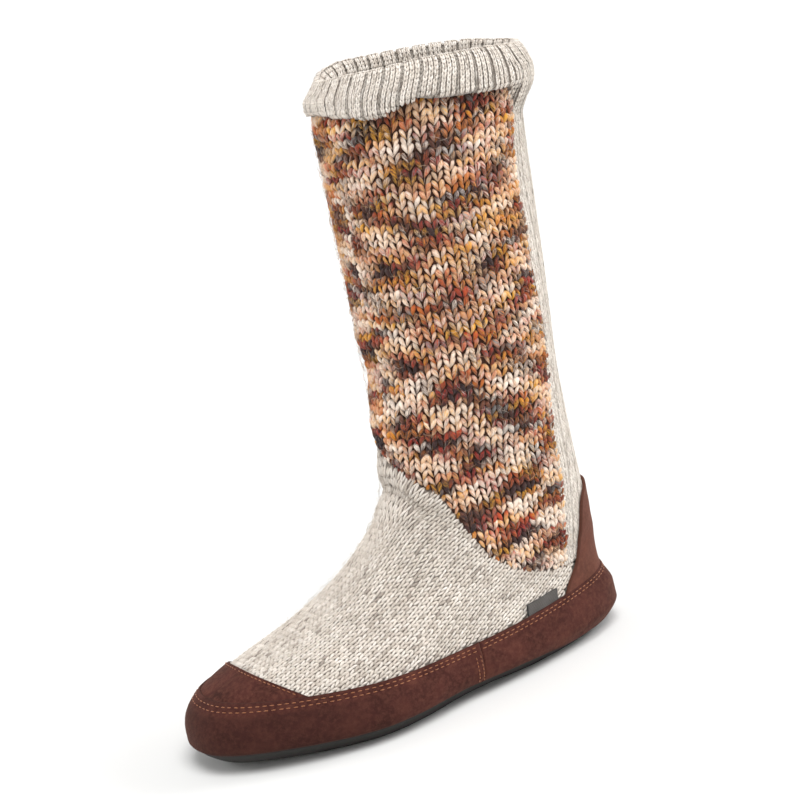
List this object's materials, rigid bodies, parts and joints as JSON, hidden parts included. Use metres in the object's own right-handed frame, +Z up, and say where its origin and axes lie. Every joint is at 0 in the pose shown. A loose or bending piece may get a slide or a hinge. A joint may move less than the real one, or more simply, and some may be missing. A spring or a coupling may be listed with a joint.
{
  "type": "slouch boot",
  "caption": "Tall knitted slipper boot with a folded ribbed cuff, chunky knit shaft, fine knit foot, suede toe cap, heel counter and base band, and a thin flexible sole.",
  "frame": {"origin": "on the floor, under the middle of the boot's length and width", "axes": "+X to the toe, +Y to the wearer's left, which is the outer side of this left boot, +Z up"},
  "size_m": [0.268, 0.1122, 0.337],
  "materials": {
    "sole_rubber": "matte charcoal rubber",
    "footbed_felt": "pale fleece footbed",
    "grey_knit": "flecked grey wool knit",
    "chunky_knit": "chunky many-coloured wool knit",
    "brown_suede": "brown suede with a soft nap",
    "woven_tab": "plain charcoal woven tape"
  },
  "bodies": {
    "root": {"outsole": "sole_rubber", "insole": "footbed_felt", "upper": "grey_knit", "shaft": "chunky_knit", "back_panel": "grey_knit", "cuff": "grey_knit", "toe_cap": "brown_suede", "heel_counter": "brown_suede", "band_front": "brown_suede", "band_rear": "brown_suede", "side_tab": "woven_tab"}
  },
  "joints": []
}
